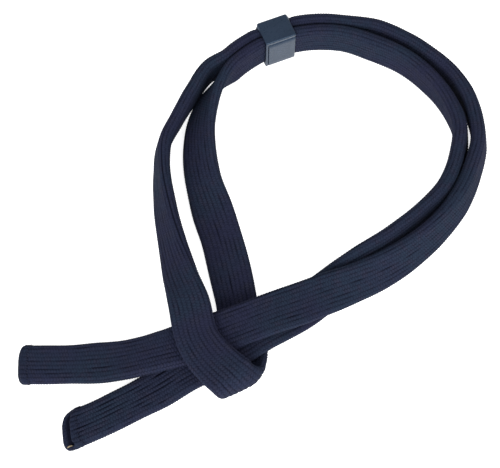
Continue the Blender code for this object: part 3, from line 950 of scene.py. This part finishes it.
class Tail:
    """One tail of the strap, from its open mouth to where it goes under the bight."""

    def __init__(self, name, mouth, inner_end, hinge, lips, corner, skew, wall):
        self.name = name
        self.mouth = mouth
        self.inner_end = inner_end
        self.sign = 1 if inner_end > mouth else -1
        self.hinge = hinge
        self.face_lip, self.back_lip = lips
        self.corner = corner
        self.skew = skew
        self.wall = wall
        self.body = f"{name}_tail"

    def marks(self, depths):
        """Distances along the tube of depths counted inwards from the mouth."""
        return self.mouth + self.sign * np.asarray(depths, float)

    def shift(self, marks, across, high):
        """How far points near the mouth move along the tube: rounded corners, and one lip past the other."""
        near = 1 - eased(np.abs(marks - self.mouth) / MOUTH_FADE)[:, None]
        middle = (self.face_lip + self.back_lip) / 2
        half = (self.face_lip - self.back_lip) / 2
        back = middle + half * np.clip(high / LIP_SPLIT, -1, 1) + self.skew * np.clip(across, -1, 1)
        back = back + self.corner * np.minimum(np.abs(across), 1.0) ** CORNER_POWER
        return self.sign * near * back

    def rings(self, depths, raised):
        """Rings of this tail's knit at these depths, raised by this much."""
        return tube_rings(self.marks(depths), TAIL_VALLEY[self.name], np.asarray(raised), self.shift)

    def knit(self, material):
        """The tail's knit: its outside up to the hem, and the wall of the space inside it."""
        step = COURSE / RINGS_PER_TAIL_COURSE
        length = abs(self.inner_end - self.mouth)
        outside = np.arange(math.ceil(length / step), -1, -1) * step
        outside = np.unique(np.clip(outside, HEM - HEM_UNDER, length))[::-1]
        inside = np.arange(HEM - HEM_UNDER, LUMEN_DEPTH, 2 * step)
        depths = np.concatenate([outside, inside])
        raised = np.concatenate([np.zeros(len(outside)), np.full(len(inside), -self.wall)])
        rings, valley = self.rings(depths, raised)
        # The wall inside the mouth gets a flat painted shade in place of its grooves.
        valley[len(outside) :] = INSIDE_PAINTED_SHADE
        courses = np.concatenate([self.marks(outside) / COURSE, self.marks(inside) / COURSE])
        piece = skin(f"{self.name}_tail_knit", rings, valley, courses)
        dressed(piece, material, "knit", f"{self.name}_temple_sleeve")
        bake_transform(piece)
        return piece

    def hem(self, material):
        """The turned hem: a ring that stands proud of the knit, with a rolled lip."""
        radius = (self.wall + HEM_PROUD) / 2
        run = np.linspace(HEM, radius, HEM_ROWS)
        swell = np.sin(math.pi * np.clip((HEM - run) / HEM * 1.1, 0, 1))
        puff = HEM_PROUD * (1 - HEM_PUFF + HEM_PUFF * swell)
        turns = np.linspace(0, math.pi, LIP_STEPS)[1:-1]
        depths = np.concatenate([[HEM], run, radius * (1 - np.sin(turns)), run[::-1], [HEM]])
        roll = HEM_PROUD - radius * (1 - np.cos(turns))
        inner = np.full(len(run), -self.wall)
        raised = np.concatenate([[-HEM_PROUD], puff, roll, inner, [-self.wall / 2]])
        rings, valley = self.rings(depths, raised)
        # The hem keeps less of its grooves' painted shade; its inner face gets the painted shade of the
        # mouth's inside, easing in from the lip.
        valley *= HEM_GROOVE_SHADE
        within = slice(-len(run) - 1, None)
        valley[within] = INSIDE_PAINTED_SHADE * eased((depths[within] - LIP_BREADTH) / LIP_BREADTH)[:, None]
        piece = skin(f"{self.name}_hem", rings, valley, np.arange(len(depths)) * HEM_COURSE, closed=True)
        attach(dressed(piece, material, "hem", f"{self.name}_sleeve_hem"), self.body)

    def surface(self, around, depth, raised):
        """A point on the tail's section, or raised over it, for what is sewn to it."""
        marks = self.marks([depth])
        columns, forward, edge, face = frames_at(marks)
        sizes = columns[:, 5] + 2 * raised, columns[:, 6] + 2 * raised
        across, high = (v[0, 0] for v in flattened(*sizes, np.array([around]))[:2])
        shares = np.array([[across / columns[0, 5] * 2]]), np.array([[high / columns[0, 6] * 2]])
        place = columns[0, :3] + edge[0] * across + face[0] * high
        return place + forward[0] * self.shift(marks, *shares)[0, 0]

    def stitches(self, material):
        """The overlock thread that holds the hem down: a short slanting stitch on every rib or so."""
        random = np.random.default_rng(len(self.name))
        paths = []
        for k in range(STITCHES):
            around = (k + random.uniform(-STITCH_SPACING, STITCH_SPACING)) / STITCHES % 1.0
            lean = random.uniform(*STITCH_LEAN)
            path = []
            for t in np.linspace(-1, 1, STITCH_POINTS):
                depth = HEM + t * STITCH_LENGTH / 2 + random.uniform(-STITCH_WANDER, STITCH_WANDER)
                bow = HEM_PROUD * (0.5 - 0.5 * t) + THREAD * (THREAD_RISE - THREAD_DIP * t * t)
                path.append(self.surface((around + lean * t) % 1.0, depth, bow))
            paths.append(path)
        piece = threads(f"{self.name}_hem_stitches", paths, THREAD / 2, THREAD_SIDES)
        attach(dressed(piece, material, "hem"), self.body)


def threads(name, paths, radius, sides):
    """One mesh of short threads along lists of points, each with tapered ends."""
    points = []
    faces = []
    for path in paths:
        path = np.array(path)
        forward = np.gradient(path, axis=0)
        forward /= np.linalg.norm(forward, axis=1)[:, None]
        side = np.cross(forward, (0.31, 0.47, 0.83))
        side /= np.linalg.norm(side, axis=1)[:, None]
        other = np.cross(forward, side)
        first = len(points)
        last_row = len(path) - 1
        for row, place in enumerate(path):
            size = radius * (THREAD_TIP if row in (0, last_row) else 1.0)
            for k in range(sides):
                angle = 2 * math.pi * k / sides
                points.append(place + size * (math.cos(angle) * side[row] + math.sin(angle) * other[row]))
        faces += (first + ring_quads(len(path), sides, closed=False)[2]).tolist()
        faces.append([first + k for k in range(sides)][::-1])
        faces.append([first + last_row * sides + k for k in range(sides)])
    mesh = bpy.data.meshes.new(name)
    mesh.from_pydata([tuple(p) for p in points], [], faces)
    mesh.shade_smooth()
    outward(mesh)
    return linked(name, mesh)


def yarn_end(tail, material):
    """The loose end of the hem's yarn, a short bent thread in the corner of the lower mouth."""
    path = []
    for t in np.linspace(0, 1, YARN_POINTS):
        around = YARN_AROUND + YARN_TURN * t
        depth = YARN_START + YARN_LENGTH * t
        raised = -YARN_SUNK - YARN_BEND * math.sin(math.pi * t)
        path.append(tail.surface(around, depth, raised))
    piece = threads("hem_yarn_end", [path], YARN_RADIUS, YARN_SIDES)
    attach(dressed(piece, material, "yarn"), tail.body)


def slider_loop(half_depth, low, high, corner):
    """Points round a rounded rectangle in the slider's section: (radial, height, outward radial, up).

    Every loop has the same number of points, some of them where the groove along the top runs.
    """
    points = []
    top = (TOP_BORDER + TOP_GROOVE / 2, TOP_BORDER, TOP_BORDER - TOP_GROOVE / 2)
    shares = [*UPRIGHT_SHARES] + [1 - below / SLIDER_HEIGHT for below in top]
    upright = [low + (high - low) * share for share in shares]
    level = [half_depth * share for share in LEVEL_SHARES]
    for turn, side, line in (
        (-90, (1, -1), [(half_depth, z) for z in upright]),
        (0, (1, 1), [(r, high) for r in reversed(level)]),
        (90, (-1, 1), [(-half_depth, z) for z in reversed(upright)]),
        (180, (-1, -1), [(r, low) for r in level]),
    ):
        centre_r = side[0] * (half_depth - corner)
        centre_z = (high - corner) if side[1] > 0 else (low + corner)
        for angle in np.radians(np.linspace(turn, turn + 90, CORNER_STEPS)):
            out = (math.cos(angle), math.sin(angle))
            points.append((centre_r + corner * out[0], centre_z + corner * out[1], *out))
        facing = math.radians(turn + 90)
        for r, z in line:
            points.append((r, z, round(math.cos(facing)), round(math.sin(facing))))
    return np.array(points)


def edge_rows(outer, end, turns):
    """Rows round the outside's softened edge, at the slider's left end (1) or its right end (-1)."""
    edge = SLIDER_END_EDGE + (SLIDER_BACK_EDGE - SLIDER_END_EDGE) * np.maximum(outer[:, 2], 0.0) ** 2
    rows = []
    for turn in np.radians(turns):
        place = end * (SLIDER_LENGTH / 2 - edge * (1 - math.sin(turn)))
        rows.append((place, outer, -edge * (1 - math.cos(turn))))
    return rows


def lip_rows(slot, end, turns):
    """Rows round the slot's rounded lip, at one of the same two ends."""
    rows = []
    for turn in np.radians(turns):
        place = end * (SLIDER_LENGTH / 2 - SLOT_LIP * (1 - math.sin(turn)))
        rows.append((np.full(len(slot), place), slot, np.full(len(slot), SLOT_LIP * (1 - math.cos(turn)))))
    return rows


def plain_rows(loop, places):
    """Rows of a loop as it is, at these places along the slider."""
    return [(np.full(len(loop), place), loop, np.zeros(len(loop))) for place in places]


def slider_rows(outer, slot):
    """All rows of the slider, over its outside from right to left and back through its slot.

    Each row is (places along the slider, loop of the section, how far the loop grows outwards).
    """
    groove = SLIDER_LENGTH / 2 - END_BORDER
    beside_groove = (groove - END_GROOVE / 2, groove, groove + END_GROOVE / 2)
    slot_end = SLIDER_LENGTH / 2 - SLOT_INSET
    return [
        *edge_rows(outer, -1, np.linspace(90, 0, EDGE_STEPS)),
        *plain_rows(outer, (*SLIDER_ROWS, *beside_groove)),
        *edge_rows(outer, 1, np.linspace(0, 90, EDGE_STEPS)),
        *lip_rows(slot, 1, np.linspace(90, 0, SLOT_LIP_STEPS)),
        *plain_rows(slot, np.linspace(slot_end, -slot_end, SLOT_ROWS)),
        *lip_rows(slot, -1, np.linspace(0, 90, SLOT_LIP_STEPS)),
    ]


def slider(material):
    """The moulded slider: a box with softened edges, fine grooves front and back, and a curved slot."""
    slot_half = GRIPPED + STRAND_GAP / 2 + SLOT_CLEARANCE
    slot_low = ARC_HEIGHT - ARC_WIDTH / 2 - SLOT_CLEARANCE
    slot_high = ARC_HEIGHT + ARC_WIDTH / 2 + SLOT_CLEARANCE
    half_depth = slot_half + SLIDER_WALL
    outer = slider_loop(half_depth, 0.0, SLIDER_HEIGHT, SLIDER_EDGE)
    slot = slider_loop(slot_half, slot_low, slot_high, SLOT_CORNER)
    rows = slider_rows(outer, slot)
    sagitta = SLIDER_LENGTH**2 / (8 * ARC_RADIUS)
    rings = np.zeros((len(rows), len(outer), 3))
    for i, (along, loop, grown) in enumerate(rows):
        radial = loop[:, 0] + loop[:, 2] * grown
        height = loop[:, 1] + loop[:, 3] * grown
        if loop is outer:
            radial = radial - np.sign(loop[:, 0]) * np.abs(loop[:, 2]) * groove_depth(along, height)
            radial = radial * (1 + 0.5 * sagitta / half_depth) - sagitta / 2 - SLIDER_FORWARD
            rings[i] = beside_arc(along, radial, height)
        else:
            rings[i] = round_arc(along, radial, height)
    mesh = bpy.data.meshes.new("slider_body")
    faces = ring_quads(len(rows), len(outer), closed=True)[2]
    mesh.from_pydata(rings.reshape(-1, 3).tolist(), [], faces.tolist())
    outward(mesh)
    mesh.shade_smooth()
    mesh.set_sharp_from_angle(angle=math.radians(SHARPEST_SMOOTH))
    piece = dressed(linked("slider_body", mesh), material, "slider", "slider_sleeve")
    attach(piece, "slider")


def groove_depth(along, height):
    """Depth of the fine groove along the left end and the top of the slider's front and back."""
    past_end = (along - (SLIDER_LENGTH / 2 - END_BORDER)) / (END_GROOVE / 2)
    past_top = (height - (SLIDER_HEIGHT - TOP_BORDER)) / (TOP_GROOVE / 2)
    return GROOVE_DEPTH * np.clip(1 - np.abs(np.maximum(past_end, past_top)), 0.0, 1.0)


def beside_arc(along, radial, height):
    """Points of a straight block whose middle touches the strands' arc."""
    angle = math.radians(SLIDER_ANGLE)
    out = np.array([math.cos(angle), math.sin(angle)])
    forward = np.array([-math.sin(angle), math.cos(angle)])
    plan = np.array(ARC_CENTRE) + out * (ARC_RADIUS + radial)[:, None] + forward * along[:, None]
    return np.column_stack([plan, height])


def round_arc(along, radial, height):
    """Points that follow the strands' arc."""
    angle = math.radians(SLIDER_ANGLE) + along / ARC_RADIUS
    away = ARC_RADIUS + radial
    x = ARC_CENTRE[0] + away * np.cos(angle)
    y = ARC_CENTRE[1] + away * np.sin(angle)
    return np.column_stack([x, y, height])


camera()
studio()
knit = knit_material("navy_knit", chevron=CHEVRON, depth=0.00012, lint=1.0, shade=1.0)
hem = knit_material("navy_hem", chevron=0.0, depth=0.00010, lint=0.0, shade=0.9)
thread = yarn_material("navy_thread", GREY_NAVY, NAVY)
beige = yarn_material("beige_yarn", BEIGE, DARK_BEIGE)

upper = Tail("upper", 0.0, mark_of(UPPER_TAIL_ENDS), mark_of(UPPER_HINGE), **UPPER_MOUTH)
lower = Tail("lower", float(MARKS[-1]), mark_of(INNER_STRAND_ENDS), mark_of(LOWER_HINGE), **LOWER_MOUTH)
for tail in (upper, lower):
    tail.knit(knit)
    tail.hem(hem)
    tail.stitches(thread)
yarn_end(lower, beige)

strand(
    "outer_strand_knit",
    mark_of(UPPER_TAIL_ENDS),
    mark_of(OUTER_STRAND_ENDS),
    (
        "upper_strand_crossing",
        "outer_strand_lower_right",
        "outer_strand_right",
        "outer_strand_top",
        "outer_strand_left",
        "bight_top_band",
        "bight_fold",
        "bight_underside",
    ),
    knit,
)
strand(
    "inner_strand_knit",
    mark_of(OUTER_STRAND_ENDS),
    mark_of(INNER_STRAND_ENDS),
    (
        "inner_strand_left",
        "inner_strand_top",
        "inner_strand_right",
        "inner_strand_lower_right",
        "lower_strand_crossing",
    ),
    knit,
)
slider(plastic_material())
